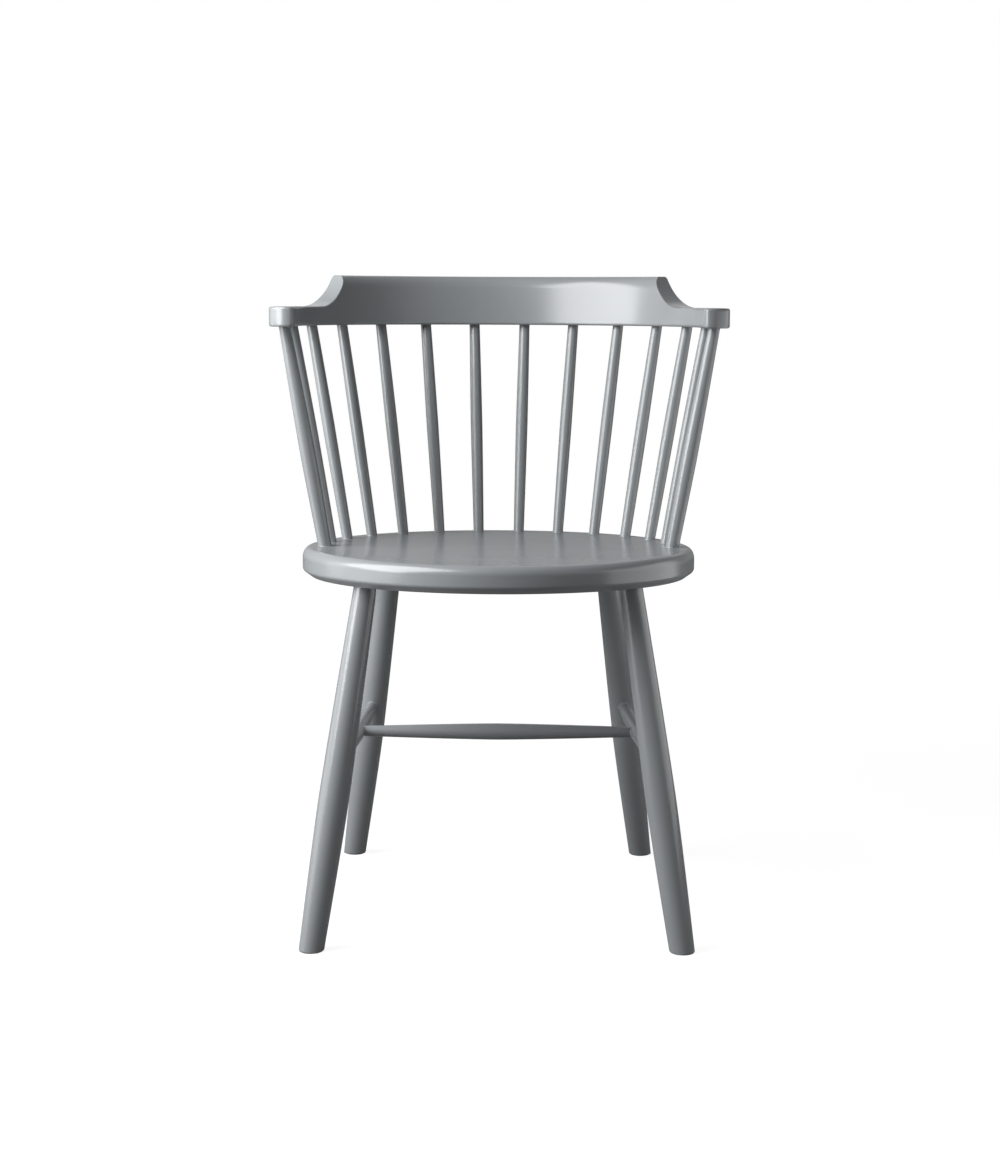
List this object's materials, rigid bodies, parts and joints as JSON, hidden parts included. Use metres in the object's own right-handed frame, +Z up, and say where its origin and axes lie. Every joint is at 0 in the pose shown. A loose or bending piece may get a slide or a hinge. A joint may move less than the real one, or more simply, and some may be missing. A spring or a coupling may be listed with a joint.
{
  "type": "spindle-back armchair",
  "caption": "Low spindle-back armchair in painted wood: round solid seat, splayed turned legs tied by stretchers, bow rail with a raised crest and short arms.",
  "frame": {"origin": "on the floor, under the middle of the chair's bounding box", "axes": "+Z up, the front faces -Y, +X is the right side as seen from the front"},
  "size_m": [0.5304, 0.5208, 0.757],
  "materials": {
    "grey_paint": "satin grey lacquer",
    "bare_wood": "raw beech"
  },
  "bodies": {
    "root": {"seat": "grey_paint", "leg_front_left": "grey_paint", "leg_front_right": "grey_paint", "leg_rear_left": "grey_paint", "leg_rear_right": "grey_paint", "stretcher_left": "grey_paint", "stretcher_right": "grey_paint", "stretcher_cross": "grey_paint", "spindle_01": "grey_paint", "spindle_02": "grey_paint", "spindle_03": "grey_paint", "spindle_04": "grey_paint", "spindle_05": "grey_paint", "spindle_06": "grey_paint", "spindle_07": "grey_paint", "spindle_08": "grey_paint", "spindle_09": "grey_paint", "spindle_10": "grey_paint", "spindle_11": "grey_paint", "spindle_12": "grey_paint", "post_left": "grey_paint", "post_right": "grey_paint", "rail_back": "grey_paint", "rail_arm_left": "grey_paint", "rail_arm_right": "grey_paint", "dowel_left_inner": "bare_wood", "dowel_left_outer": "bare_wood", "dowel_right_inner": "bare_wood", "dowel_right_outer": "bare_wood"}
  },
  "joints": []
}
